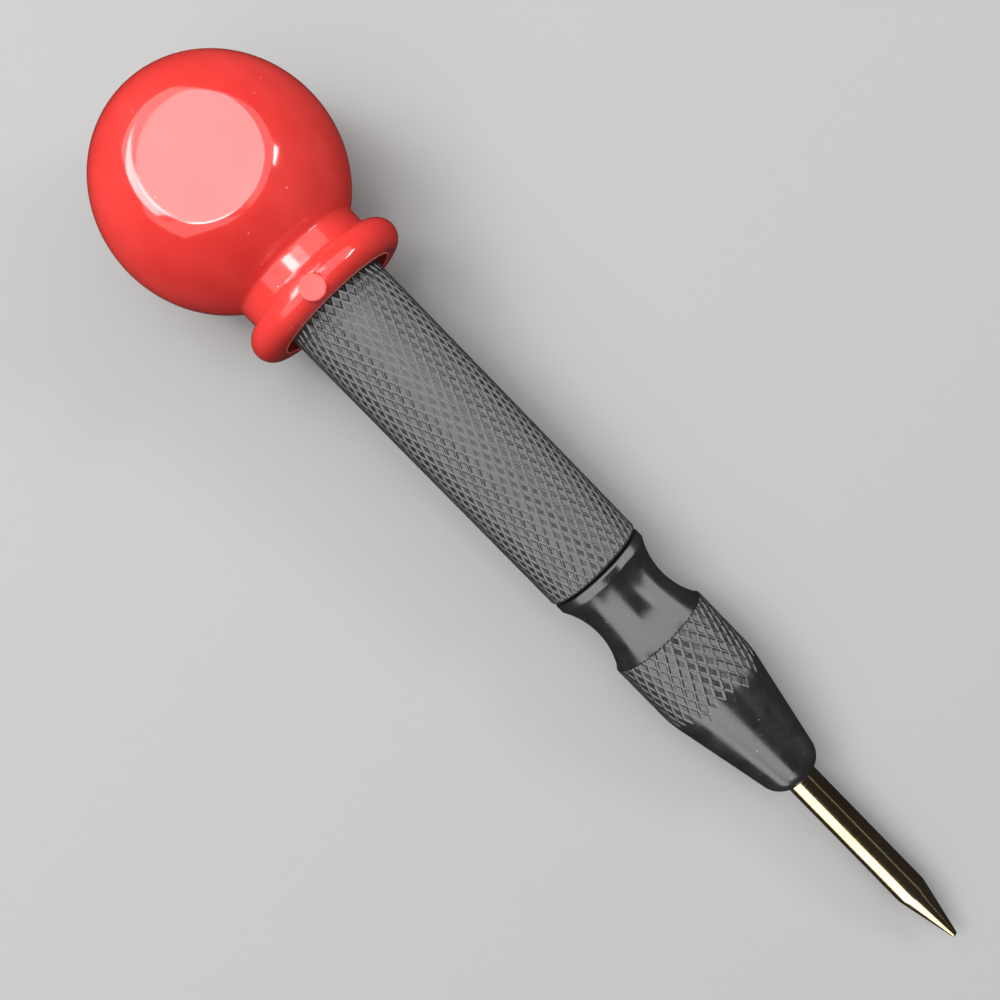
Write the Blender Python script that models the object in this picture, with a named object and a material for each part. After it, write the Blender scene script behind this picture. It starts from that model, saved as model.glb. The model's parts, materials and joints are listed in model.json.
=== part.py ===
"""Automatic centre punch: a spring-loaded marking tool with a red cushion cap.

The tool lies on a flat surface, held up by its front knurled band and by one of
the two flats on its ball. World axes: +X runs along the surface from the point
to the ball, +Z is up, and the origin is on the surface under the middle of the
tool. The pieces are modelled along the tool's own axis, with the point's tip at
0, and hang from one empty that leans the whole tool on its two rests.
Lengths below are in millimetres along that axis, radii in millimetres from it.
"""

from math import asin, atan, cos, degrees, pi, radians, sin, sqrt

import bmesh
import bpy

MM = 0.001
GAP = 0.3            # clearance between pieces that touch or slide
ROUND = 48           # facets round a large turned piece
FINE = 24            # facets round a small one
EDGE = 0.5           # chamfer on the ends of the inner pieces and the spigot
FINE_EDGE = 0.2      # chamfer on the knurled band and the pin's end

# the tool as a whole
LENGTH = 160.0

# hardened point
TIP_R = 0.5
TIP_FACE_R = 0.35
TIP_ROUND = 0.25
TAPER_END = 9.3
POINT_R = 2.35
SHANK_R = 1.7
SHANK_LENGTH = 9.4

# front housing: cone, knurled band, waist and threaded spigot, one turning
NOSE_END = 32.2
NOSE_ROUND_R = 3.0
NOSE_FACE = 0.25
NOSE_STEPS = 5
CONE_START_R = 4.69
CONE_SLOPE = 0.198
CONE_END = 47.4
BAND_START = 51.0
BAND_END = 61.0
BAND_R = 7.7
BAND_BULGE = 0.12
WAIST_MID = 66.6
WAIST_R = 6.0
WAIST_ARC_R = 11.0
WAIST_STEPS = 9
LAND_R = 7.45
LAND_END = 73.3
SPIGOT_R = 6.0
SPIGOT_END = 99.5
FRONT_WALL_END = 40.3
CHAMBER_R = 4.1
BUSH_SEAT = 69.7
HAMMER_BORE_R = 4.5

# plunger holder and trip pin
STROKE = 9.0
HOLDER_R = CHAMBER_R - GAP
HOLDER_EDGE = 0.4
HOLDER_END = 54.0
PIN_PIVOT = 53.2
PIN_HEAD_R = 1.3
PIN_HEAD_STEPS = 5
COLLAR_START = 55.0
COLLAR_END = 56.5
COLLAR_R = 2.75
PIN_THICK_R = 1.55
PIN_THICK_END = 66.0
PIN_STEP = 1.0
PIN_THIN_R = 0.9
PIN_END = 76.3
PIN_TILT = radians(1.75)

# centring bush and hammer
BUSH_END = 76.0
BUSH_LEAD_R = 2.4
BUSH_LEAD = 1.2
HAMMER_START = 76.6
HAMMER_END = 101.0
HAMMER_BORE = 8.0
GUIDE_R = 2.3
HAMMER_GUIDE = 4.0

# springs
COIL_FACETS = 14
COIL_GAP = 0.12
PIN_SPRING_WIRE = 0.7
PIN_SPRING_TURNS = 5
PIN_SPRING_SMALL_R = 2.3
PIN_SPRING_LARGE_R = 3.3
MAIN_SPRING_WIRE = 1.3
MAIN_SPRING_TURNS = 12
MAIN_SPRING_R = 3.45

# knurled grip barrel, which is also the adjusting sleeve
BARREL_R = 7.6
BARREL_CHAMFER = 0.35
BARREL_BACK_CHAMFER = 1.0
BARREL_END = 140.5
THREAD_BORE_R = SPIGOT_R + GAP
THREAD_BORE_END = 102.5
SPRING_BORE_R = 4.9
SPRING_BORE_END = 137.5
SEAT_THICK = 2.5
SEAT_GUIDE = 3.2

# cushion cap: ring, neck and ball in one moulding
MOUTH = 122.4
MOUTH_R = 9.07
LIP_DEPTH = 0.2
LIP_FLARE = 0.4
RING_MID = 124.6
RING_OUTER_R = 12.4
RING_TUBE_R = 2.45
RING_FROM = 170
RING_TO = 4
RING_STEPS = 12
NECK_R = 9.8
NECK_CREASE = 0.1
NECK_BLEND = 0.15
BALL_R = 16.62
BALL_STEPS = 18
BALL_FLAT = 14.58
SOCKET_R = BARREL_R + GAP
SOCKET_TAPER_END = 126.5
SOCKET_END = BARREL_END + GAP

BALL_MID = LENGTH - BALL_R

COLOURS = {
    "black_metal": ((0.02, 0.02, 0.022), 0.22, 0.85),
    "gold_steel": ((0.80, 0.60, 0.30), 0.12, 1.0),
    "red_plastic": ((0.62, 0.025, 0.02), 0.16, 0.0),
    "steel": ((0.46, 0.46, 0.48), 0.3, 1.0),
    "spring_steel": ((0.30, 0.30, 0.32), 0.35, 1.0),
}


def clear_scene():
    for obj in list(bpy.data.objects):
        bpy.data.objects.remove(obj)


def make_materials():
    materials = {}
    for name, (colour, roughness, metallic) in COLOURS.items():
        material = bpy.data.materials.new(name)
        material.use_nodes = True
        shader = material.node_tree.nodes["Principled BSDF"]
        shader.inputs["Base Color"].default_value = (*colour, 1.0)
        shader.inputs["Roughness"].default_value = roughness
        shader.inputs["Metallic"].default_value = metallic
        materials[name] = material
    return materials


def arc(centre, radius, start, end, steps):
    """Profile points on a circle, with angles in degrees from the tool's axis."""
    along, out = centre
    angles = [radians(start + (end - start) * i / steps) for i in range(steps + 1)]
    return [(along + radius * cos(a), out + radius * sin(a)) for a in angles]


def turn(name, profile, material, parent, facets=ROUND, origin=0.0):
    """A turned solid. The profile is a list of (along, radius), in order round the
    section. It is closed if it stays off the axis, and open with both ends on the
    axis if the piece is solid in the middle. It starts half a facet round, so that
    a facet and not an edge faces down, and the tool rests without rocking."""
    half = pi / facets
    mesh = bpy.data.meshes.new(name)
    bm = bmesh.new()
    verts = [bm.verts.new(((s - origin) * MM, r * MM * sin(half), r * MM * cos(half)))
             for s, r in profile]
    edges = [bm.edges.new(pair) for pair in zip(verts, verts[1:])]
    if profile[0][1] > 0:
        edges.append(bm.edges.new((verts[-1], verts[0])))
    bmesh.ops.spin(bm, geom=verts + edges, cent=(0, 0, 0), axis=(1, 0, 0),
                   angle=2 * pi, steps=facets, use_duplicate=False)
    bmesh.ops.remove_doubles(bm, verts=bm.verts, dist=1e-6)
    bmesh.ops.recalc_face_normals(bm, faces=bm.faces)
    bm.to_mesh(mesh)
    bm.free()
    mesh.shade_smooth()
    mesh.set_sharp_from_angle(angle=radians(30))
    mesh.materials.append(material)
    return place(bpy.data.objects.new(name, mesh), parent, origin)


def place(obj, parent, along=0.0):
    bpy.context.scene.collection.objects.link(obj)
    obj.parent = parent
    obj.location = (along * MM, 0.0, 0.0)
    return obj


def coil(name, wire, turns, start, end, radius_start, radius_end, material, parent):
    """A compression spring with one closed turn at each end."""
    closed_pitch = wire + COIL_GAP
    first = start + wire / 2
    last = end - wire / 2
    open_pitch = (last - first - 2 * closed_pitch) / (turns - 2)
    curve = bpy.data.curves.new(name, "CURVE")
    curve.dimensions = "3D"
    curve.bevel_depth = wire / 2 * MM
    curve.bevel_resolution = 1
    curve.render_resolution_u = 0
    curve.use_fill_caps = True
    spline = curve.splines.new("POLY")
    count = turns * COIL_FACETS
    spline.points.add(count)
    for i, point in enumerate(spline.points):
        turn_now = i / COIL_FACETS
        opened = min(max(turn_now - 1, 0), turns - 2)
        along = first + closed_pitch * (turn_now - opened) + open_pitch * opened
        radius = radius_start + (radius_end - radius_start) * i / count
        angle = 2 * pi * turn_now
        point.co = (along * MM, radius * cos(angle) * MM, radius * sin(angle) * MM, 1)
    curve.materials.append(material)
    return place(bpy.data.objects.new(name, curve), parent)


def make_tool_axis():
    """The empty that leans the tool: the front edge of the knurled band and the
    nearer edge of the ball's lower flat both touch the surface."""
    flat_r = sqrt(BALL_R ** 2 - BALL_FLAT ** 2)
    contact = BALL_MID - flat_r
    lean = atan((BALL_FLAT - BAND_R) / (contact - BAND_START))
    height = BAND_R * cos(lean) - BAND_START * sin(lean)
    low_end = -TIP_R * sin(lean)
    high_end = BALL_MID * cos(lean) + BALL_R
    axis = bpy.data.objects.new("tool_axis", None)
    bpy.context.scene.collection.objects.link(axis)
    axis.location = (-(low_end + high_end) / 2 * MM, 0.0, height * MM)
    axis.rotation_euler = (0.0, -lean, 0.0)
    return axis


def make_point(steel, parent):
    shoulder = FRONT_WALL_END
    profile = [
        (0.0, 0.0),
        (0.0, TIP_FACE_R),
        (TIP_ROUND, TIP_R),
        (TAPER_END, POINT_R),
        (shoulder, POINT_R),
        (shoulder, SHANK_R),
        (shoulder + SHANK_LENGTH, SHANK_R),
        (shoulder + SHANK_LENGTH, 0.0),
    ]
    turn("punch_point", profile, steel, parent, FINE)


def make_holder(steel, parent):
    front = FRONT_WALL_END + GAP
    hole_r = SHANK_R + GAP
    hole_end = FRONT_WALL_END + SHANK_LENGTH + GAP
    cup_r = PIN_HEAD_R + GAP
    cup = arc((PIN_PIVOT, 0.0), cup_r, 90, 180, PIN_HEAD_STEPS)
    cup[-1] = (PIN_PIVOT - cup_r, 0.0)
    profile = [
        (hole_end, 0.0),
        (hole_end, hole_r),
        (front, hole_r),
        (front, HOLDER_R - HOLDER_EDGE),
        (front + HOLDER_EDGE, HOLDER_R),
        (HOLDER_END - HOLDER_EDGE, HOLDER_R),
        (HOLDER_END, HOLDER_R - HOLDER_EDGE),
        (HOLDER_END, cup_r + HOLDER_EDGE),
    ]
    turn("point_holder", profile + cup, steel, parent, FINE)


def make_trip_pin(steel, parent):
    """The pin leans in its cup, so its end misses the hammer's bore at rest."""
    pivot = bpy.data.objects.new("pin_pivot", None)
    place(pivot, parent, PIN_PIVOT)
    pivot.rotation_euler = (0.0, PIN_TILT, 0.0)
    head = arc((PIN_PIVOT, 0.0), PIN_HEAD_R, 180, 90, PIN_HEAD_STEPS)
    head[0] = (PIN_PIVOT - PIN_HEAD_R, 0.0)
    profile = head + [
        (COLLAR_START, PIN_HEAD_R),
        (COLLAR_START, COLLAR_R),
        (COLLAR_END, COLLAR_R),
        (COLLAR_END, PIN_THICK_R),
        (PIN_THICK_END, PIN_THICK_R),
        (PIN_THICK_END + PIN_STEP, PIN_THIN_R),
        (PIN_END - FINE_EDGE, PIN_THIN_R),
        (PIN_END, PIN_THIN_R - FINE_EDGE),
        (PIN_END, 0.0),
    ]
    pin = turn("trip_pin", profile, steel, pivot, FINE, origin=PIN_PIVOT)
    pin.location = (0.0, 0.0, 0.0)


def make_bush(steel, parent):
    front = BUSH_SEAT + GAP
    bore_r = PIN_THICK_R + GAP
    profile = [
        (front, BUSH_LEAD_R),
        (front, HAMMER_BORE_R - GAP),
        (BUSH_END, HAMMER_BORE_R - GAP),
        (BUSH_END, bore_r),
        (front + BUSH_LEAD, bore_r),
    ]
    turn("centring_bush", profile, steel, parent, FINE)


def make_hammer(steel, parent):
    outer = HAMMER_BORE_R - GAP
    bore_r = PIN_THIN_R + GAP
    profile = [
        (HAMMER_START + HAMMER_BORE, 0.0),
        (HAMMER_START + HAMMER_BORE, bore_r),
        (HAMMER_START, bore_r),
        (HAMMER_START, outer - EDGE),
        (HAMMER_START + EDGE, outer),
        (HAMMER_END, outer),
        (HAMMER_END, GUIDE_R),
        (HAMMER_END + HAMMER_GUIDE - EDGE, GUIDE_R),
        (HAMMER_END + HAMMER_GUIDE, GUIDE_R - EDGE),
        (HAMMER_END + HAMMER_GUIDE, 0.0),
    ]
    turn("hammer", profile, steel, parent, FINE)


def make_spring_seat(steel, parent):
    back = SPRING_BORE_END - GAP
    face = back - SEAT_THICK
    profile = [
        (face - SEAT_GUIDE, 0.0),
        (face - SEAT_GUIDE, GUIDE_R - EDGE),
        (face - SEAT_GUIDE + EDGE, GUIDE_R),
        (face, GUIDE_R),
        (face, SPRING_BORE_R - GAP),
        (back, SPRING_BORE_R - GAP),
        (back, 0.0),
    ]
    turn("spring_seat", profile, steel, parent, FINE)
    return face


def waist_profile():
    """The concave waist, from the band's back edge to the land before the barrel."""
    centre_r = WAIST_R + WAIST_ARC_R
    start = 270 - degrees(asin((WAIST_MID - BAND_END) / WAIST_ARC_R))
    land_reach = sqrt(WAIST_ARC_R ** 2 - (centre_r - LAND_R) ** 2)
    end = 270 + degrees(asin(land_reach / WAIST_ARC_R))
    return arc((WAIST_MID, centre_r), WAIST_ARC_R, start, end, WAIST_STEPS)


def make_nose_housing(black, parent):
    cone_angle = atan(CONE_SLOPE)
    round_mid = NOSE_END + NOSE_ROUND_R
    round_out = CONE_START_R - NOSE_ROUND_R / cos(cone_angle)
    bore_r = POINT_R + GAP
    face_angle = 180 - degrees(asin((bore_r + NOSE_FACE - round_out) / NOSE_ROUND_R))
    nose_round = arc((round_mid, round_out), NOSE_ROUND_R, face_angle,
                     90 + degrees(cone_angle), NOSE_STEPS)
    cone_end_r = CONE_START_R + CONE_SLOPE * (CONE_END - round_mid)
    profile = [(nose_round[0][0], bore_r)] + nose_round + [
        (CONE_END, cone_end_r),
        ((CONE_END + BAND_START) / 2, (cone_end_r + BAND_R) / 2 + BAND_BULGE),
        (BAND_START, BAND_R),
        (BAND_END - FINE_EDGE, BAND_R),
    ]
    profile += waist_profile()
    profile += [
        (LAND_END, LAND_R),
        (LAND_END, SPIGOT_R),
        (SPIGOT_END - EDGE, SPIGOT_R),
        (SPIGOT_END, SPIGOT_R - EDGE),
        (SPIGOT_END, HAMMER_BORE_R),
        (BUSH_SEAT, HAMMER_BORE_R),
        (BUSH_SEAT, CHAMBER_R),
        (FRONT_WALL_END, CHAMBER_R),
        (FRONT_WALL_END, bore_r),
    ]
    turn("nose_housing", profile, black, parent)


def make_barrel(black, parent):
    start = LAND_END + GAP
    profile = [
        (SPRING_BORE_END, 0.0),
        (SPRING_BORE_END, SPRING_BORE_R),
        (THREAD_BORE_END, SPRING_BORE_R),
        (THREAD_BORE_END, THREAD_BORE_R),
        (start, THREAD_BORE_R),
        (start, BARREL_R - BARREL_CHAMFER),
        (start + BARREL_CHAMFER, BARREL_R),
        (BARREL_END - BARREL_BACK_CHAMFER, BARREL_R),
        (BARREL_END, BARREL_R - BARREL_BACK_CHAMFER),
        (BARREL_END, 0.0),
    ]
    turn("grip_barrel", profile, black, parent)


def make_ball_cap(red, parent):
    ring_out = RING_OUTER_R - RING_TUBE_R
    lip = [(MOUTH, MOUTH_R), (MOUTH - LIP_DEPTH, MOUTH_R + LIP_FLARE)]
    ring = arc((RING_MID, ring_out), RING_TUBE_R, RING_FROM, RING_TO, RING_STEPS)
    neck_end = BALL_MID - sqrt(BALL_R ** 2 - NECK_R ** 2)
    ball_start = 180 - degrees(asin(NECK_R / BALL_R))
    ball = arc((BALL_MID, 0.0), BALL_R, ball_start, 0, BALL_STEPS)
    ball[-1] = (LENGTH, 0.0)
    profile = [
        (SOCKET_END, 0.0),
        (SOCKET_END, SOCKET_R),
        (SOCKET_TAPER_END, SOCKET_R),
    ]
    profile += lip + ring
    profile += [(ring[-1][0] + NECK_CREASE, NECK_R), (neck_end - NECK_BLEND, NECK_R)]
    profile += ball
    cap = turn("ball_cap", profile, red, parent)
    for side in (1, -1):
        cut_flat(cap, side, parent)


def cut_flat(cap, side, parent):
    """One of the two flats on opposite sides of the ball, parallel to the axis."""
    mesh = bpy.data.meshes.new("flat_cutter")
    bm = bmesh.new()
    size = 2 * BALL_R * MM
    bmesh.ops.create_cube(bm, size=size)
    bmesh.ops.translate(bm, verts=bm.verts, vec=(0, 0, side * size / 2))
    bm.to_mesh(mesh)
    bm.free()
    cutter = place(bpy.data.objects.new("flat_cutter", mesh), parent, BALL_MID)
    cutter.location.z = side * BALL_FLAT * MM
    cutter.hide_render = True
    cutter.display_type = "WIRE"
    modifier = cap.modifiers.new("flat", "BOOLEAN")
    modifier.operation = "DIFFERENCE"
    modifier.solver = "EXACT"
    modifier.object = cutter


def main():
    clear_scene()
    materials = make_materials()
    axis = make_tool_axis()
    make_point(materials["gold_steel"], axis)
    make_holder(materials["steel"], axis)
    make_trip_pin(materials["steel"], axis)
    make_bush(materials["steel"], axis)
    make_hammer(materials["steel"], axis)
    seat_face = make_spring_seat(materials["steel"], axis)
    coil("pin_spring", PIN_SPRING_WIRE, PIN_SPRING_TURNS, COLLAR_END + GAP, BUSH_SEAT,
         PIN_SPRING_SMALL_R, PIN_SPRING_LARGE_R, materials["spring_steel"], axis)
    coil("main_spring", MAIN_SPRING_WIRE, MAIN_SPRING_TURNS, HAMMER_END + GAP,
         seat_face - GAP, MAIN_SPRING_R, MAIN_SPRING_R, materials["spring_steel"], axis)
    make_nose_housing(materials["black_metal"], axis)
    make_barrel(materials["black_metal"], axis)
    make_ball_cap(materials["red_plastic"], axis)


main()
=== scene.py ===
"""Looks of the automatic centre punch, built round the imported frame.

Every piece is modelled along the tool's own axis, in millimetres: x runs from
the point's tip towards the ball, z is up through the ball's flats, y is the
side. One matrix, read from the frame, puts the tool in the world.
"""

import json
from math import acos, asin, atan, cos, degrees, radians, sin, sqrt, tan, tau

import bpy
import numpy as np
from mathutils import Matrix, Vector


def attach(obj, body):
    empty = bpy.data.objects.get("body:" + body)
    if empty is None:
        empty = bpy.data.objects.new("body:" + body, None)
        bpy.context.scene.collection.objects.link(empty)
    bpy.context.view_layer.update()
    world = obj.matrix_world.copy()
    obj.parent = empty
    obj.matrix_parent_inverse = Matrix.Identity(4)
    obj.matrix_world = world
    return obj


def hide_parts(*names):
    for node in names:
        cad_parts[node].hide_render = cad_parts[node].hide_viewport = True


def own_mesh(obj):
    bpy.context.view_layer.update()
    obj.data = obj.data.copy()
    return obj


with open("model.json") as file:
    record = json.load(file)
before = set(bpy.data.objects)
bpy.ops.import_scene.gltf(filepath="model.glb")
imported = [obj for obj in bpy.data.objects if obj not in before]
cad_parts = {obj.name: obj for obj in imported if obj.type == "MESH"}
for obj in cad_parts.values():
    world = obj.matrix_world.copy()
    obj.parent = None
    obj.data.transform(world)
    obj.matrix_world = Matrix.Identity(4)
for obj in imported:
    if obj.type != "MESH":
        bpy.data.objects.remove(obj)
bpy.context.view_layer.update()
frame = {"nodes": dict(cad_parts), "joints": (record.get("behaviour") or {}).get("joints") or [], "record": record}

MM = 0.001

# ---------------------------------------------------------------- the tool's frame


def joint(name):
    return next(j for j in frame["joints"] if j["name"] == name)


def mount(name):
    return next(m for m in frame["record"]["mounts"] if m["name"] == name)


def stations(node):
    """Every point of a CAD node as (along, out from the axis), in millimetres."""
    co = np.array([v.co for v in frame["nodes"][node].data.vertices])
    local = (co - np.array(TIP)) @ np.array(TO_WORLD.to_3x3()) / MM
    return local[:, 0], np.hypot(local[:, 1], local[:, 2])


def span(node):
    along, _ = stations(node)
    return float(along.min()), float(along.max())


def reach(node):
    return float(stations(node)[1].max())


def tool_matrix(origin):
    matrix = Matrix((ALONG, SIDE, UP)).transposed().to_4x4()
    matrix.translation = origin
    return matrix


ALONG = Vector(joint("point_slide")["axis"]).normalized()
FLAT_LOW = Vector(mount("rest_flat")["pos_m"])
FLAT_HIGH = Vector(mount("top_flat")["pos_m"])
UP = (FLAT_HIGH - FLAT_LOW).normalized()
SIDE = UP.cross(ALONG)
BALL_CENTRE = (FLAT_LOW + FLAT_HIGH) / 2
# the tip is measured from the ball's middle, and then the frame moves to it
TIP = BALL_CENTRE
TO_WORLD = tool_matrix(TIP)
TIP = BALL_CENTRE + ALONG * span("punch_point")[0] * MM
TO_WORLD = tool_matrix(TIP)

# sizes read from the frame
BALL_MID = (BALL_CENTRE - TIP).length / MM
BALL_FLAT = (FLAT_HIGH - FLAT_LOW).length / 2 / MM
LENGTH = span("ball_cap")[1]
BALL_R = LENGTH - BALL_MID
POINT_R = reach("punch_point")
BAND_R = reach("nose_housing")
NOSE_END, SPIGOT_END = span("nose_housing")
BARREL_R = reach("grip_barrel")
BARREL_START, BARREL_END = span("grip_barrel")

# sizes of details, as in the CAD source, but the ring is 0.05 mm slimmer and further back
TIP_R = 0.5
TAPER_END = 9.3
FRONT_WALL_END = 40.3
SHANK_R = 1.7
SHANK_LENGTH = 9.4
NOSE_BORE_R = 2.65
NOSE_ROUND_R = 3.0
NOSE_FACE = 0.25
CONE_START_R = 4.69
CONE_SLOPE = 0.198
CONE_END = 47.4
BAND_START = 51.0
BAND_END = 61.0
WAIST_MID = 66.6
WAIST_R = 6.0
WAIST_ARC_R = 11.0
LAND_R = 7.45
LAND_END = BARREL_START - 0.3
SPIGOT_R = 6.0
SPIGOT_EDGE = 0.5
CHAMBER_R = 4.1
BUSH_SEAT = 69.7
HAMMER_BORE_R = 4.5
THREAD_BORE_R = 6.3
THREAD_BORE_END = 102.5
SPRING_BORE_R = 4.9
SPRING_BORE_END = 137.5
BARREL_CHAMFER = 0.35
BARREL_BACK_CHAMFER = 1.0
PIN_WIRE = 0.7
PIN_TURNS = 5
PIN_COIL_FRONT_R = 2.3
PIN_COIL_BACK_R = 3.3
MAIN_WIRE = 1.3
MAIN_TURNS = 12
MAIN_COIL_R = 3.45
COIL_GAP = 0.12
MOUTH = 122.4
MOUTH_R = 9.07
RING_MID = 124.65
RING_OUTER_R = 12.4
RING_TUBE_R = 2.4
NECK_R = 9.8
SOCKET_R = 7.9
SOCKET_TAPER_END = 126.5
SOCKET_END = BARREL_END + 0.3

# details that only this model has
TIP_ROUNDING = ((0.02, 0.45), (0.07, 0.72), (0.18, 0.92), (0.35, 1.0))  # along, share of TIP_R
BAND_BLEND = 0.8         # how far past its start the band still blends into the cone
LAND_EDGE = 0.1
THREAD_PITCH = 1.25
THREAD_DEPTH = 0.55
THREAD_RUN_IN = 1.0
THREAD_RUN_OUT = 2.0
LIP_R = 0.16
CREASE_R = 0.3
NECK_FLARE_START = 0.3   # how far before the ball the neck starts to widen
BALL_RISE = 0.3          # how much wider than the neck the ball's own curve begins
FLAT_TILT = (radians(2.1), radians(-1.1))
FLAT_SINK = 0.15
RIM_SHARP = 0.14         # softness of the flat's rim
RIM_SOFTER = 0.2         # what is added to it on its softest side
RIM_SOFT_AT = radians(55.0)
DIMPLES = ((-1.5, -1.2, 9.0, 0.022), (3.2, 2.4, 6.0, 0.012))  # along, side, spread, depth
GATE_R = 1.7
GATE_MID = (RING_MID - 0.5, 0.8)
GATE_TOP = RING_OUTER_R - 0.11
GATE_CLEARANCE = 0.15
GATE_LEAN = (-0.03, 0.04)
GATE_SECTION = ((GATE_R + 0.12, -1.5), (GATE_R + 0.03, -0.12), (GATE_R, -0.06),
                (GATE_R - 0.06, -0.015), (GATE_R - 0.16, 0.0), (GATE_R * 0.75, -0.015),
                (GATE_R * 0.4, -0.03))

# cross-knurls: ridges of two hands that cross, with flat-bottomed pits between
GRIP_STARTS = 38
GRIP_PERIOD = 2.45
BAND_STARTS = 33
BAND_PERIOD = 2.6
KNURL_DEPTH = 0.15
KNURL_STEPS = 8          # mesh steps from a ridge to the middle of a pit
RIDGE_HALF = 0.25        # half the width of a ridge, as a share of the pitch

# mesh steps round each turned piece, and along the spigot for each turn of its thread
POINT_FACETS = 96
CAP_FACETS = 288
GATE_FACETS = 72
THREAD_ROWS = 10

# colours of the cap's plastic and the black plating
RED_DEEP, RED_BRIGHT = (0.52, 0.028, 0.024), (0.62, 0.044, 0.038)
# the lip colour is a painted highlight: a paler pink along the mouth's edge, in place of light caught by that edge
RED_LIP_HIGHLIGHT, RED_DUST = (0.85, 0.22, 0.15), (0.85, 0.45, 0.40)
BLACK_DEEP, BLACK_WASHED = (0.010, 0.010, 0.011), (0.018, 0.018, 0.019)
BLACK_WORN, BLACK_DUST = (0.035, 0.035, 0.036), (0.25, 0.25, 0.24)

# the stage
FLOOR_HALF = 1.5
FLOOR_GREY = 0.28
CEILING = 900.0          # height of the softboxes, in the tool's millimetres
CAP_MID = (143.0, 0.0, 0.0)
CAMERA_EYE = (101.4, 0.0, 148.0)
CAMERA_LOOK = (-0.08442, 0.01930, -0.99624)
CAMERA_TOP = (0.71137, -0.69893, -0.07382)
SENSOR_WIDTH = 36.0
LENS_TO_WIDTH = 1.1073

# ---------------------------------------------------------------- mesh building


def arc(centre, radius, start, end, steps):
    """Profile points on a circle, with angles in degrees from the tool's axis."""
    angles = np.radians(np.linspace(start, end, steps + 1))
    return [(centre[0] + radius * cos(t), centre[1] + radius * sin(t)) for t in angles]


def line(start, end, steps):
    """Profile points on a straight run, without its first point."""
    return [(start[0] + (end[0] - start[0]) * i / steps,
             start[1] + (end[1] - start[1]) * i / steps) for i in range(1, steps + 1)]


def finish_piece(name, verts, faces, material, body, replaced, sharp=30.0):
    """Makes the object in the tool's frame, hangs it on its body and hides the CAD nodes it replaces."""
    mesh = bpy.data.meshes.new(name)
    mesh.from_pydata((np.asarray(verts) * MM).tolist(), [], faces)
    mesh.validate()
    mesh.update()
    mesh.shade_smooth()
    mesh.set_sharp_from_angle(angle=radians(sharp))
    mesh.materials.append(material)
    obj = bpy.data.objects.new(name, mesh)
    bpy.context.scene.collection.objects.link(obj)
    obj.matrix_world = TO_WORLD
    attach(obj, body)
    if replaced:
        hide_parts(*replaced)
    return obj


def lathe(profile, facets, shape=None, ridged=(0, 0)):
    """Vertices and faces of a turned piece. The profile runs round the section; ends
    on the axis close it in the middle, otherwise it joins up with its start.
    shape(along, angle, out) changes the radii. Rows of faces from ridged[0] up to
    ridged[1] carry a knurl and are cut into triangles along its ridges."""
    out = np.array([p[1] for p in profile])
    angle = np.arange(facets) * tau / facets
    grid_s, grid_t = np.meshgrid([p[0] for p in profile], angle, indexing="ij")
    grid_r = np.repeat(out[:, None], facets, axis=1)
    if shape:
        grid_r = shape(grid_s, grid_t, grid_r)
    verts = np.stack([grid_s, grid_r * np.sin(grid_t), grid_r * np.cos(grid_t)], -1)
    whole = np.ones(grid_s.shape, bool)
    whole[out == 0, 1:] = False
    number = np.cumsum(whole.ravel()).reshape(whole.shape) - 1
    number[out == 0] = number[out == 0, :1]
    number = np.hstack([number, number[:, :1]]).tolist()
    faces = []
    rows = len(profile)
    for row in range(rows - 1 if out[0] == 0 else rows):
        here, after = number[row], number[(row + 1) % rows]
        for i in range(facets):
            a, b, c, d = here[i], here[i + 1], after[i + 1], after[i]
            if a == b:
                faces.append((a, d, c))
            elif c == d:
                faces.append((a, d, b))
            elif ridged[0] <= row < ridged[1]:
                faces += split_on_ridge(a, b, c, d, i, row - ridged[0])
            else:
                faces.append((a, d, c, b))
    return verts[whole], faces, whole


def split_on_ridge(a, b, c, d, i, row):
    """Two triangles whose shared edge lies on a ridge, or runs with the nearest."""
    period = 2 * KNURL_STEPS
    rising = (i - row) % period
    falling = (i + row + 1) % period
    if min(rising, period - rising) < min(falling, period - falling):
        return [(a, d, c), (a, c, b)]
    return [(a, d, b), (d, c, b)]


def smooth_step(x):
    x = np.clip(x, 0.0, 1.0)
    return x * x * (3 - 2 * x)


def ridge_height(distance):
    """1 on a ridge, 0 on a pit's floor, where distance is 0 to 0.5 of a pitch."""
    return 1.0 - smooth_step(distance / RIDGE_HALF)


def knurl(along, angle, starts, period, origin):
    """The depth of the pits, 0 on the ridges to 1, and for each point its pit: the
    station of the pit's middle and a number from 0 to 1 that is the pit's own."""
    turns = angle * starts / tau
    rise = (along - origin) / period
    u, v = turns + rise, turns - rise
    height = np.maximum(ridge_height(np.abs(u - np.round(u))),
                        ridge_height(np.abs(v - np.round(v))))
    pit_u, pit_v = np.floor(u + 1e-6), np.floor(v + 1e-6)
    middle = origin + (pit_u - pit_v) * period / 2
    turn = (pit_u + pit_v) % (2 * starts)
    chance = np.sin(turn * 12.9898 + (pit_u - pit_v) * 78.233) * 43758.5453 % 1.0
    return 1.0 - height, middle, chance


# ---------------------------------------------------------------- materials


def new_material(slot):
    """A node material for one of the record's material slots."""
    material = bpy.data.materials.new(slot + "_surface")
    material["slot"] = slot
    material.use_nodes = True
    tree = material.node_tree
    return material, tree, tree.nodes["Principled BSDF"]


def node(tree, kind, **settings):
    """A new shader node with some of its own properties set."""
    made = tree.nodes.new(kind)
    for key, value in settings.items():
        setattr(made, key, value)
    return made


def tool_space(tree, scale=(1, 1, 1)):
    """The tool's own coordinates, stretched."""
    place = node(tree, "ShaderNodeTexCoord")
    mapping = node(tree, "ShaderNodeMapping")
    mapping.inputs["Scale"].default_value = scale
    tree.links.new(place.outputs["Object"], mapping.inputs["Vector"])
    return mapping.outputs["Vector"]


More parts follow.
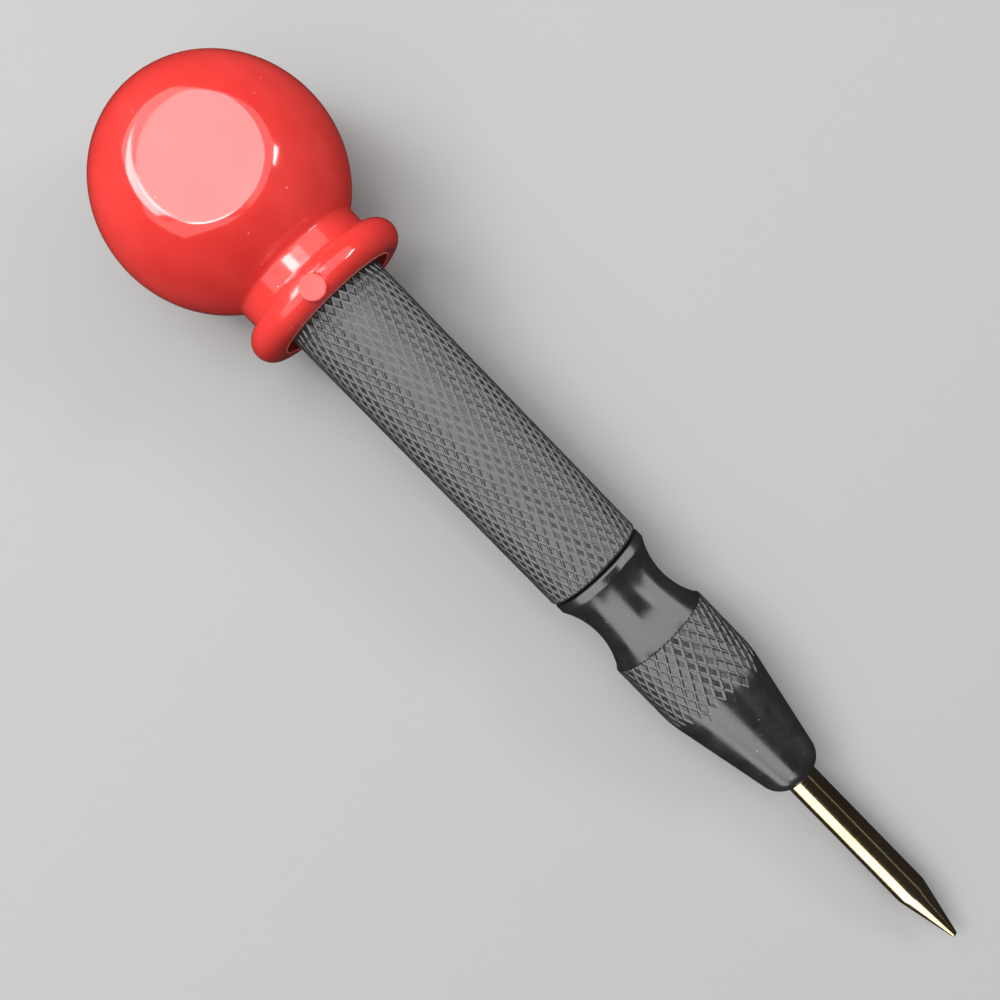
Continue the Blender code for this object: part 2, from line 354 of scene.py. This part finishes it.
def noise(tree, vector, scale, detail=3.0, roughness=0.5, distortion=0.0):
    made = node(tree, "ShaderNodeTexNoise")
    for key, value in (("Scale", scale), ("Detail", detail), ("Roughness", roughness),
                       ("Distortion", distortion)):
        made.inputs[key].default_value = value
    tree.links.new(vector, made.inputs["Vector"])
    return made.outputs["Fac"]


def between(tree, value, low, high, from_low=0.0, from_high=1.0):
    """Maps a value from one range to another, clamped."""
    made = node(tree, "ShaderNodeMapRange")
    tree.links.new(value, made.inputs["Value"])
    for key, number in (("From Min", from_low), ("From Max", from_high),
                        ("To Min", low), ("To Max", high)):
        made.inputs[key].default_value = number
    return made.outputs["Result"]


def mix_colour(tree, factor, low, high):
    made = node(tree, "ShaderNodeMix", data_type="RGBA")
    tree.links.new(factor, made.inputs["Factor"])
    for slot, colour in (("A", low), ("B", high)):
        socket = [s for s in made.inputs if s.name == slot and s.type == "RGBA"][0]
        if isinstance(colour, tuple):
            socket.default_value = (*colour, 1.0)
        else:
            tree.links.new(colour, socket)
    return [s for s in made.outputs if s.type == "RGBA"][0]


def bump(tree, height, strength, distance, under=None):
    made = node(tree, "ShaderNodeBump")
    made.inputs["Strength"].default_value = strength
    made.inputs["Distance"].default_value = distance
    tree.links.new(height, made.inputs["Height"])
    if under is not None:
        tree.links.new(under, made.inputs["Normal"])
    return made.outputs["Normal"]


def red_plastic(smooth, dull):
    """The cap's plastic, with a roughness that drifts between two values."""
    material, tree, shader = new_material("red_plastic")
    cloudy = noise(tree, tool_space(tree), 90.0, 4.0)
    colour = mix_colour(tree, between(tree, cloudy, 0.0, 1.0, 0.35, 0.65),
                        RED_DEEP, RED_BRIGHT)
    dust = noise(tree, tool_space(tree), 1900.0, 1.0)
    specks = between(tree, dust, 0.0, 1.0, 0.80, 0.83)
    colour = mix_colour(tree, specks, colour, RED_DUST)
    # painted highlight: the mouth's lip is coloured a paler pink, in place of light caught by its rounded edge
    painted_lip_highlight = node(tree, "ShaderNodeAttribute", attribute_name="painted_lip_highlight")
    colour = mix_colour(tree, painted_lip_highlight.outputs["Fac"], colour, RED_LIP_HIGHLIGHT)
    tree.links.new(colour, shader.inputs["Base Color"])
    tree.links.new(between(tree, cloudy, smooth, dull, 0.3, 0.7), shader.inputs["Roughness"])
    shader.inputs["IOR"].default_value = 1.55
    shader.inputs["Subsurface Weight"].default_value = 0.12
    shader.inputs["Subsurface Radius"].default_value = (1.0, 0.2, 0.15)
    shader.inputs["Subsurface Scale"].default_value = 0.002
    wavy = noise(tree, tool_space(tree), 140.0, 1.0)
    fine = noise(tree, tool_space(tree), 2600.0, 2.0)
    normal = bump(tree, wavy, 0.1, 0.0004)
    normal = bump(tree, fine, 0.04, 0.0001, normal)
    tree.links.new(normal, shader.inputs["Normal"])
    return material


def black_metal():
    """Black plating: duller in the pits, worn a little lighter on the ridges."""
    material, tree, shader = new_material("black_metal")
    stained = noise(tree, tool_space(tree), 260.0, 5.0, 0.6)
    turned = noise(tree, tool_space(tree, (90.0, 1.0, 1.0)), 60.0, 3.0)
    worn = node(tree, "ShaderNodeAttribute", attribute_name="ridge")
    base = mix_colour(tree, between(tree, stained, 0.0, 1.0, 0.3, 0.7),
                      BLACK_DEEP, BLACK_WASHED)
    colour = mix_colour(tree, worn.outputs["Fac"], base, BLACK_WORN)
    dust = noise(tree, tool_space(tree), 2600.0, 0.0)
    colour = mix_colour(tree, between(tree, dust, 0.0, 1.0, 0.86, 0.90), colour, BLACK_DUST)
    tree.links.new(colour, shader.inputs["Base Color"])
    grime = node(tree, "ShaderNodeMath", operation="MULTIPLY")
    pits = node(tree, "ShaderNodeAttribute", attribute_name="pit")
    tree.links.new(pits.outputs["Fac"], grime.inputs[0])
    grime.inputs[1].default_value = 0.12
    rough = node(tree, "ShaderNodeMath", operation="ADD")
    tree.links.new(between(tree, stained, 0.15, 0.28, 0.3, 0.7), rough.inputs[0])
    tree.links.new(grime.outputs[0], rough.inputs[1])
    tree.links.new(rough.outputs[0], shader.inputs["Roughness"])
    shader.inputs["IOR"].default_value = 1.85
    normal = bump(tree, turned, 0.22, 0.00005)
    normal = bump(tree, noise(tree, tool_space(tree), 900.0, 3.0), 0.12, 0.00005, normal)
    tree.links.new(normal, shader.inputs["Normal"])
    return material


def gold_steel():
    """Gold-coloured coating over fine grinding marks that run round the point."""
    material, tree, shader = new_material("gold_steel")
    rings = noise(tree, tool_space(tree, (60.0, 1.0, 1.0)), 80.0, 4.0, 0.6)
    tone = noise(tree, tool_space(tree), 180.0, 4.0)
    colour = mix_colour(tree, between(tree, tone, 0.0, 1.0, 0.3, 0.7),
                        (0.66, 0.50, 0.28), (0.80, 0.64, 0.40))
    tree.links.new(colour, shader.inputs["Base Color"])
    tree.links.new(between(tree, rings, 0.10, 0.26, 0.3, 0.7), shader.inputs["Roughness"])
    shader.inputs["Metallic"].default_value = 1.0
    tree.links.new(bump(tree, rings, 0.18, 0.00003), shader.inputs["Normal"])
    return material


def plain_steel(name, dark, light, low, high):
    """Turned or drawn steel with a light film of oil."""
    material, tree, shader = new_material(name)
    rings = noise(tree, tool_space(tree, (50.0, 1.0, 1.0)), 90.0, 4.0, 0.6)
    film = noise(tree, tool_space(tree), 300.0, 3.0)
    colour = mix_colour(tree, between(tree, film, 0.0, 1.0, 0.3, 0.7), dark, light)
    tree.links.new(colour, shader.inputs["Base Color"])
    tree.links.new(between(tree, rings, low, high, 0.3, 0.7), shader.inputs["Roughness"])
    shader.inputs["Metallic"].default_value = 1.0
    tree.links.new(bump(tree, rings, 0.2, 0.00004), shader.inputs["Normal"])
    return material


# ---------------------------------------------------------------- pieces


def mark(obj, name, values):
    """Stores a number with each vertex, for the piece's material to read."""
    attribute = obj.data.attributes.new(name, "FLOAT", "POINT")
    attribute.data.foreach_set("value", np.asarray(values, np.float32).ravel())


def make_point(material):
    """The point and its shank. The edge at the taper's end is ground a little soft."""
    chamfer = 0.2
    profile = [(0.0, 0.0)] + [(along, TIP_R * share) for along, share in TIP_ROUNDING]
    profile += line(profile[-1], (TAPER_END - 0.25, POINT_R - 0.05), 24)
    profile += [(TAPER_END, POINT_R - 0.012), (TAPER_END + 0.3, POINT_R)]
    profile += line(profile[-1], (FRONT_WALL_END - chamfer, POINT_R), 30)
    profile += [(FRONT_WALL_END, POINT_R - chamfer), (FRONT_WALL_END, SHANK_R),
                (FRONT_WALL_END + SHANK_LENGTH, SHANK_R),
                (FRONT_WALL_END + SHANK_LENGTH, 0.0)]
    verts, faces, _ = lathe(profile, POINT_FACETS)
    return finish_piece("polished_point", verts, faces, material, "plunger", ["punch_point"])


def only_rows(values, first_row, last_row):
    """Clears a value everywhere but on a knurl's rows."""
    values[:first_row] = 0.0
    values[last_row + 1:] = 0.0
    return values


def nose_profile():
    """The front housing's section: outside from the nose to the spigot, back through
    the bore. Also gives the band's first and last rows, the row where its pits have run
    out into the waist, and the station where the thread starts."""
    cone_angle = degrees(atan(CONE_SLOPE))
    round_mid = NOSE_END + NOSE_ROUND_R + 0.02
    round_out = CONE_START_R - NOSE_ROUND_R / cos(radians(cone_angle))
    face_deg = 180 - degrees(asin((NOSE_BORE_R + NOSE_FACE - round_out) / NOSE_ROUND_R))
    corner = arc((round_mid, round_out), NOSE_ROUND_R, face_deg, 90 + cone_angle, 18)
    step = BAND_PERIOD / (2 * KNURL_STEPS)
    rows = int(round((BAND_END - CONE_END) / step))
    start = BAND_END - rows * step
    start_r = corner[-1][1] + CONE_SLOPE * (start - corner[-1][0])
    profile = [(corner[0][0] + 0.15, NOSE_BORE_R)] + corner
    profile += line(corner[-1], (start, start_r), 16)
    first_row = len(profile) - 1
    width = BAND_START + BAND_BLEND - start
    for i in range(1, rows + 1):
        along = start + i * step
        t = min((along - start) / width, 1.0)
        slope_part = CONE_SLOPE * width * t * (1 - t) ** 2
        profile.append((along, start_r + slope_part
                        + (BAND_R - start_r) * t * t * (3 - 2 * t)))
    last_row = len(profile) - 1
    waist_row = last_row + 20
    centre_r = WAIST_R + WAIST_ARC_R
    from_deg = 270 - degrees(asin((WAIST_MID - BAND_END - 0.02) / WAIST_ARC_R))
    to_deg = 270 + degrees(acos((centre_r - LAND_R) / WAIST_ARC_R))
    waist = arc((WAIST_MID, centre_r), WAIST_ARC_R, from_deg, to_deg, 64)
    profile += waist
    profile += line(waist[-1], (LAND_END - LAND_EDGE, LAND_R), 3)
    root_r = SPIGOT_R - THREAD_DEPTH
    profile += [(LAND_END, LAND_R - LAND_EDGE), (LAND_END, root_r)]
    thread_start = LAND_END + THREAD_RUN_IN
    thread_rows = int((SPIGOT_END - THREAD_RUN_OUT - thread_start) / THREAD_PITCH * THREAD_ROWS)
    thread_end = thread_start + thread_rows * THREAD_PITCH / THREAD_ROWS
    profile += line((LAND_END, root_r), (thread_start, root_r), 4)
    profile += line((thread_start, SPIGOT_R), (thread_end, SPIGOT_R), thread_rows)
    profile += [(SPIGOT_END - SPIGOT_EDGE, root_r), (SPIGOT_END, root_r - 0.4),
                (SPIGOT_END, HAMMER_BORE_R), (BUSH_SEAT, HAMMER_BORE_R),
                (BUSH_SEAT, CHAMBER_R), (FRONT_WALL_END, CHAMBER_R),
                (FRONT_WALL_END, NOSE_BORE_R)]
    return profile, first_row, last_row, waist_row, thread_start


def make_nose(material):
    """The front housing. Its band's pits start unevenly on the cone and run out over
    the waist's edge, and its spigot has the thread that the sleeve turns on."""
    profile, first_row, last_row, waist_row, thread_start = nose_profile()
    facets = BAND_STARTS * 2 * KNURL_STEPS
    origin = profile[first_row][0]
    marks = {}

    def shape(along, angle, out):
        pits, middle, chance = knurl(along, angle, BAND_STARTS, BAND_PERIOD, origin)
        deep = smooth_step((middle - BAND_START + 0.9 + 1.3 * (chance - 0.5)) / 0.7)
        pits = pits * deep * (0.88 + 0.12 * chance)
        runout = BAND_R - KNURL_DEPTH * pits
        marks["pit"] = pits = only_rows(pits, first_row, last_row)
        marks["ridge"] = only_rows((1.0 - pits) * deep, first_row, last_row)
        out[last_row + 1:waist_row] = np.minimum(out, runout)[last_row + 1:waist_row]
        turn = (along / THREAD_PITCH - angle / tau) % 1.0
        groove = smooth_step(np.abs(turn - 0.5) * 2.6 - 0.25)
        threaded = np.abs(out - SPIGOT_R) < 1e-6
        run_in = np.clip((along - thread_start) / THREAD_PITCH, 0.0, 1.0)
        thread = np.where(threaded, THREAD_DEPTH * (1 - (1 - groove) * run_in), 0.0)
        return out - KNURL_DEPTH * pits - thread

    verts, faces, whole = lathe(profile, facets, shape, (first_row, last_row))
    obj = finish_piece("knurled_nose", verts, faces, material, "housing",
                       ["nose_housing"], sharp=50.0)
    for name, values in marks.items():
        mark(obj, name, values[whole])
    return obj


def make_grip(material):
    """The grip: chamfer at the seam, knurl up into the cap's mouth, plain end."""
    facets = GRIP_STARTS * 2 * KNURL_STEPS
    step = GRIP_PERIOD / (2 * KNURL_STEPS)
    rows = int(round((SOCKET_TAPER_END - BARREL_START) / step))
    profile = [(SPRING_BORE_END, 0.0), (SPRING_BORE_END, SPRING_BORE_R),
               (THREAD_BORE_END, SPRING_BORE_R), (THREAD_BORE_END, THREAD_BORE_R),
               (BARREL_START, THREAD_BORE_R)]
    first_row = len(profile)
    profile += [(BARREL_START + i * step, BARREL_R) for i in range(rows + 1)]
    last_row = len(profile) - 1
    end = profile[-1][0]
    plain_r = BARREL_R - KNURL_DEPTH
    profile += [(end + 0.3, plain_r), (BARREL_END - BARREL_BACK_CHAMFER, plain_r),
                (BARREL_END, plain_r - BARREL_BACK_CHAMFER), (BARREL_END, 0.0)]
    marks = {}

    def shape(along, angle, out):
        pits, _, chance = knurl(along, angle, GRIP_STARTS, GRIP_PERIOD, BARREL_START)
        marks["pit"] = pits = only_rows(pits * (0.9 + 0.1 * chance), first_row, last_row)
        marks["ridge"] = only_rows(1.0 - pits, first_row, last_row)
        edge = BARREL_R - BARREL_CHAMFER + np.clip(along - BARREL_START, 0.0, BARREL_CHAMFER)
        return np.where(out == BARREL_R, np.minimum(edge, out - KNURL_DEPTH * pits), out)

    verts, faces, whole = lathe(profile, facets, shape, (first_row, last_row))
    obj = finish_piece("knurled_grip", verts, faces, material, "sleeve",
                       ["grip_barrel"], sharp=50.0)
    for name, values in marks.items():
        mark(obj, name, values[whole])
    return obj


def cap_profile():
    """Section of the cushion cap, from the socket's floor round the mouth, over the
    ring and neck, to the ball's far end. Also gives the rows of the mouth's lip."""
    profile = [(SOCKET_END, 0.0), (SOCKET_END, SOCKET_R)]
    profile += line((SOCKET_END, SOCKET_R), (SOCKET_TAPER_END, SOCKET_R), 6)
    profile += line((SOCKET_TAPER_END, SOCKET_R), (MOUTH + 0.25, MOUTH_R - 0.05), 8)
    ring_out = RING_OUTER_R - RING_TUBE_R
    lip_start = len(profile)
    profile += arc((MOUTH + 0.07, MOUTH_R + 0.14), LIP_R, 290, 110, 7)
    lip_end = len(profile)
    tube = arc((RING_MID, ring_out), RING_TUBE_R, 176, 2, 48)
    profile += line(profile[-1], (tube[0][0] + 0.06, tube[0][1] - 0.28), 4)
    profile += tube
    neck_end = BALL_MID - sqrt(BALL_R ** 2 - NECK_R ** 2)
    profile += arc((tube[-1][0] + CREASE_R, NECK_R + CREASE_R), CREASE_R, 180, 268, 8)
    neck_start = profile[-1][0]
    profile += line((neck_start, NECK_R), (neck_end - NECK_FLARE_START, NECK_R), 8)
    ball_start = 180 - degrees(asin((NECK_R + BALL_RISE) / BALL_R))
    ball = arc((BALL_MID, 0.0), BALL_R, ball_start, 0, 190)
    profile += [(neck_end - 0.1, NECK_R + 0.03), (neck_end + 0.06, NECK_R + 0.12)]
    profile += ball
    profile[-1] = (LENGTH, 0.0)
    return profile, lip_start, lip_end


def flatten_ball(verts):
    """Presses the two flats into the ball, each with a soft rim and two faint dimples.
    The upper one is a little out of parallel, as moulded."""
    along, side, up = verts[:, 0] - BALL_MID, verts[:, 1], verts[:, 2]
    towards_soft = np.clip(np.cos(np.arctan2(side, along) - RIM_SOFT_AT), 0.0, 1.0)
    rim = RIM_SHARP + RIM_SOFTER * towards_soft
    outside = np.sqrt(along ** 2 + side ** 2 + up ** 2) > BALL_R - 0.05
    slope = along * tan(FLAT_TILT[0]) + side * tan(FLAT_TILT[1])
    tilted = BALL_FLAT - np.where(up > 0, slope + FLAT_SINK, 0.0)
    height = np.abs(up)
    over = height - tilted
    pressed = tilted - np.log1p(np.exp(np.clip(-over / rim, -50, 50))) * rim
    sink = sum(depth * np.exp(-((along - at) ** 2 + (side - off) ** 2) / spread)
               for at, off, spread, depth in DIMPLES)
    pressed -= np.where(over > 0, sink, 0.0)
    verts[:, 2] = np.where(outside, np.sign(up) * np.minimum(height, pressed), up)
    return verts


def clear_gate(verts):
    """Sinks the ring's crest out of the way of the gate mark."""
    near = np.hypot(verts[:, 0] - GATE_MID[0], verts[:, 1] - GATE_MID[1]) < GATE_R
    near &= verts[:, 2] > GATE_TOP - GATE_CLEARANCE
    verts[near, 2] = GATE_TOP - GATE_CLEARANCE
    return verts


def make_cap(material):
    """The cushion cap, its mouth's lip marked for a painted highlight, and its gate mark."""
    profile, lip_start, lip_end = cap_profile()
    verts, faces, whole = lathe(profile, CAP_FACETS)
    verts = clear_gate(flatten_ball(verts))
    cap = finish_piece("cushion_cap", verts, faces, material, "sleeve", ["ball_cap"])
    # mask of the mouth's lip rows, where the painted highlight is coloured in
    painted_lip_highlight = np.zeros(whole.shape)
    painted_lip_highlight[lip_start + 2:lip_end - 1] = 1.0
    mark(cap, "painted_lip_highlight", painted_lip_highlight[whole])
    make_gate_mark(red_plastic(0.42, 0.5))


def make_gate_mark(material):
    """The round flat left by the moulding gate, on top of the ring."""
    facets = GATE_FACETS
    verts = []
    for radius, height in GATE_SECTION:
        for i in range(facets):
            x, y = radius * cos(tau * i / facets), radius * sin(tau * i / facets)
            lean = GATE_LEAN[1] * y + GATE_LEAN[0] * x
            verts.append((GATE_MID[0] + x, GATE_MID[1] + y, GATE_TOP + height + lean))
    faces = [(row * facets + i, row * facets + (i + 1) % facets,
              (row + 1) * facets + (i + 1) % facets, (row + 1) * facets + i)
             for row in range(len(GATE_SECTION) - 1) for i in range(facets)]
    last = (len(GATE_SECTION) - 1) * facets
    faces.append(tuple(last + i for i in range(facets)))
    faces.append(tuple(reversed(range(facets))))
    finish_piece("ring_gate_mark", verts, faces, material, "sleeve", [])


def spring_mesh(wire, turns, start, end, radius_start, radius_end):
    """A coil of round wire. Its first and last turns lie close, and its ends are cut
    off square."""
    per_turn, sides = 48, 14
    count = turns * per_turn
    turn_now = np.arange(count + 1) / per_turn
    closed_pitch = wire + COIL_GAP
    first, last = start + wire / 2, end - wire / 2
    open_pitch = (last - first - 2 * closed_pitch) / (turns - 2)
    opened = np.clip(turn_now - 1, 0, turns - 2)
    along = first + closed_pitch * (turn_now - opened) + open_pitch * opened
    radius = np.linspace(radius_start, radius_end, count + 1)
    path = np.stack([along, radius * np.cos(tau * turn_now),
                     radius * np.sin(tau * turn_now)], -1)
    tangent = np.gradient(path, axis=0)
    tangent /= np.linalg.norm(tangent, axis=1)[:, None]
    outward = np.stack([np.zeros(count + 1), np.cos(tau * turn_now),
                        np.sin(tau * turn_now)], -1)
    outward -= tangent * np.sum(outward * tangent, axis=1)[:, None]
    outward /= np.linalg.norm(outward, axis=1)[:, None]
    across = np.cross(tangent, outward)
    around = np.arange(sides) * tau / sides
    rings = path[:, None, :] + wire / 2 * (outward[:, None, :] * np.cos(around)[None, :, None]
                                           + across[:, None, :] * np.sin(around)[None, :, None])
    verts = rings.reshape(-1, 3)
    faces = []
    for row in range(count):
        for i in range(sides):
            k = (i + 1) % sides
            faces.append((row * sides + i, row * sides + k,
                          (row + 1) * sides + k, (row + 1) * sides + i))
    faces.append(tuple(reversed(range(sides))))
    faces.append(tuple(count * sides + i for i in range(sides)))
    return verts, faces


def world_point(along, side=0.0, up=0.0):
    return TO_WORLD @ Vector((along * MM, side * MM, up * MM))


def make_springs(material):
    """The two springs. The main one rides with its seat, so it doesn't lengthen when the sleeve is unscrewed."""
    low, high = span("pin_spring")
    verts, faces = spring_mesh(PIN_WIRE, PIN_TURNS, low, high,
                               PIN_COIL_FRONT_R, PIN_COIL_BACK_R)
    pin_spring = finish_piece("conical_pin_spring", verts, faces, material, "housing",
                              ["pin_spring"])
    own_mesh(pin_spring)
    low, high = span("main_spring")
    verts, faces = spring_mesh(MAIN_WIRE, MAIN_TURNS, low, high,
                               MAIN_COIL_R, MAIN_COIL_R)
    main_spring = finish_piece("coiled_main_spring", verts, faces, material, "seat",
                               ["main_spring"])
    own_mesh(main_spring)


def dress_inner_nodes(steel):
    """The turned pieces inside keep their CAD shape and get a steel surface."""
    for name in ("point_holder", "trip_pin", "centring_bush", "hammer", "spring_seat"):
        mesh = frame["nodes"][name].data
        mesh.materials.clear()
        mesh.materials.append(steel)


# ---------------------------------------------------------------- stage


def make_floor():
    """A plain pale floor, which mirror reflections don't show."""
    mesh = bpy.data.meshes.new("floor")
    half = FLOOR_HALF
    mesh.from_pydata([(-half, -half, 0), (half, -half, 0), (half, half, 0), (-half, half, 0)],
                     [], [(0, 1, 2, 3)])
    floor = bpy.data.objects.new("floor", mesh)
    bpy.context.scene.collection.objects.link(floor)
    material, _, shader = new_material("pale_floor")
    shader.inputs["Base Color"].default_value = (FLOOR_GREY, FLOOR_GREY, FLOOR_GREY, 1.0)
    shader.inputs["Roughness"].default_value = 0.9
    mesh.materials.append(material)
    floor.visible_glossy = False


def softbox(name, centre, size, radiance, facing=None, along=(1.0, 0.0, 0.0)):
    """A light with its middle and size in the tool's millimetres. It shines down on
    the tool, or towards a point if one is given. Its first side runs with along."""
    data = bpy.data.lights.new(name, "AREA")
    data.shape = "RECTANGLE"
    data.size, data.size_y = size[0] * MM, size[1] * MM
    data.energy = 4 * radiance * data.size * data.size_y
    light = bpy.data.objects.new(name, data)
    light.visible_camera = False
    bpy.context.scene.collection.objects.link(light)
    away = Vector((0.0, 0.0, 1.0))
    if facing is not None:
        away = (Vector(centre) - Vector(facing)).normalized()
    first = Vector(along)
    first = (first - away * first.dot(away)).normalized()
    turned = Matrix((first, away.cross(first), away)).transposed().to_4x4()
    turned.translation = Vector(centre) * MM
    light.matrix_world = TO_WORLD @ turned
    return light


def choose_pieces(light, pieces, state):
    """Makes a light reach only these pieces (INCLUDE), or all but these (EXCLUDE)."""
    receivers = bpy.data.collections.new(light.name + "_pieces")
    for piece in pieces:
        receivers.objects.link(piece)
    for link in receivers.collection_objects:
        link.light_linking.link_state = state
    light.light_linking.receiver_collection = receivers


def make_lights(nose, grip, point):
    """Softboxes round the tool. The black pieces and the point are almost mirrors, so
    they have their own wide ones, and the lights of the rest leave them alone."""
    world = bpy.data.worlds.new("studio")
    world.use_nodes = True
    tree = world.node_tree
    rays = node(tree, "ShaderNodeLightPath")
    backdrop = tree.nodes["Background"]
    backdrop.inputs["Color"].default_value = (0.97, 0.98, 1.0, 1.0)
    seen = between(tree, rays.outputs["Is Camera Ray"], 0.15, 0.6)
    mirrored = between(tree, rays.outputs["Is Glossy Ray"], 0.0, 0.125)
    strength = node(tree, "ShaderNodeMath", operation="SUBTRACT")
    tree.links.new(seen, strength.inputs[0])
    tree.links.new(mirrored, strength.inputs[1])
    tree.links.new(strength.outputs[0], backdrop.inputs["Strength"])
    bpy.context.scene.world = world
    general = [
        softbox("front_softbox", (5.0, 785.0, CEILING), (670.0, 1430.0), 1.4),
        softbox("front_corner", (520.0, 1100.0, CEILING), (360.0, 800.0), 1.4),
        softbox("back_softbox", (5.0, -777.0, CEILING), (670.0, 1445.0), 1.35),
        softbox("back_corner", (520.0, -900.0, CEILING), (360.0, 1200.0), 1.35),
        softbox("end_softbox", (465.0, -20.0, CEILING), (330.0, 560.0), 5.2),
        softbox("long_strip", (765.0, 430.0, CEILING), (670.0, 520.0), 9.0),
        softbox("key_strip", (295.0, 115.0, CEILING), (62.0, 250.0), 16.0),
        softbox("cap_softbox", (1000.0, 150.0, 800.0), (700.0, 900.0), 2.2,
                facing=CAP_MID),
        softbox("side_lamp", (-105.0, -590.0, 430.0), (200.0, 60.0), 26.0,
                facing=CAP_MID, along=(0.69, -0.43, -0.58)),
    ]
    for light in general:
        choose_pieces(light, [nose, grip, point], "EXCLUDE")
    sheen = [
        softbox("sheen_front", (-200.0, 850.0, CEILING), (2600.0, 1400.0), 1.9),
        softbox("sheen_back", (580.0, -575.0, CEILING), (1040.0, 1450.0), 1.85),
        softbox("sheen_corner", (-345.0, -950.0, CEILING), (810.0, 700.0), 2.1),
        softbox("front_wall", (-200.0, 1550.0, 550.0), (5000.0, 700.0), 1.8,
                facing=(-200.0, 0.0, 550.0)),
        softbox("back_wall", (435.0, -1300.0, 460.0), (2370.0, 860.0), 1.8,
                facing=(435.0, 0.0, 460.0)),
    ]
    for light in sheen:
        choose_pieces(light, [nose, grip], "INCLUDE")
    for light in (
            softbox("point_softbox", (-900.0, 1070.0, CEILING), (3000.0, 960.0), 2.0),
            softbox("point_panel", (-900.0, 1550.0, 320.0), (5000.0, 1160.0), 2.0,
                    facing=(-900.0, 0.0, 320.0)),
            softbox("point_streak", (-900.0, -830.0, CEILING), (3000.0, 90.0), 0.45)):
        choose_pieces(light, [point], "INCLUDE")


def make_camera():
    """Almost straight above and close, turned so that the tool lies from the upper
    left to the lower right."""
    data = bpy.data.cameras.new("camera")
    data.sensor_width = SENSOR_WIDTH
    data.lens = SENSOR_WIDTH * LENS_TO_WIDTH
    data.clip_start = 0.005
    camera = bpy.data.objects.new("camera", data)
    bpy.context.scene.collection.objects.link(camera)
    eye = world_point(*CAMERA_EYE)
    look = TO_WORLD.to_3x3() @ Vector(CAMERA_LOOK)
    top = TO_WORLD.to_3x3() @ Vector(CAMERA_TOP)
    back = -look.normalized()
    right = top.cross(back).normalized()
    camera.matrix_world = Matrix((
        (right.x, top.x, back.x, eye.x),
        (right.y, top.y, back.y, eye.y),
        (right.z, top.z, back.z, eye.z),
        (0, 0, 0, 1)))
    bpy.context.scene.camera = camera


def main():
    red = red_plastic(0.09, 0.15)
    black = black_metal()
    gold = gold_steel()
    steel = plain_steel("steel", (0.40, 0.40, 0.42), (0.52, 0.52, 0.54), 0.22, 0.38)
    wire = plain_steel("spring_steel", (0.24, 0.24, 0.26), (0.34, 0.34, 0.36), 0.28, 0.42)
    point = make_point(gold)
    nose = make_nose(black)
    grip = make_grip(black)
    make_cap(red)
    make_springs(wire)
    dress_inner_nodes(steel)
    make_floor()
    make_lights(nose, grip, point)
    make_camera()
    bpy.context.scene.view_settings.view_transform = "Standard"


main()
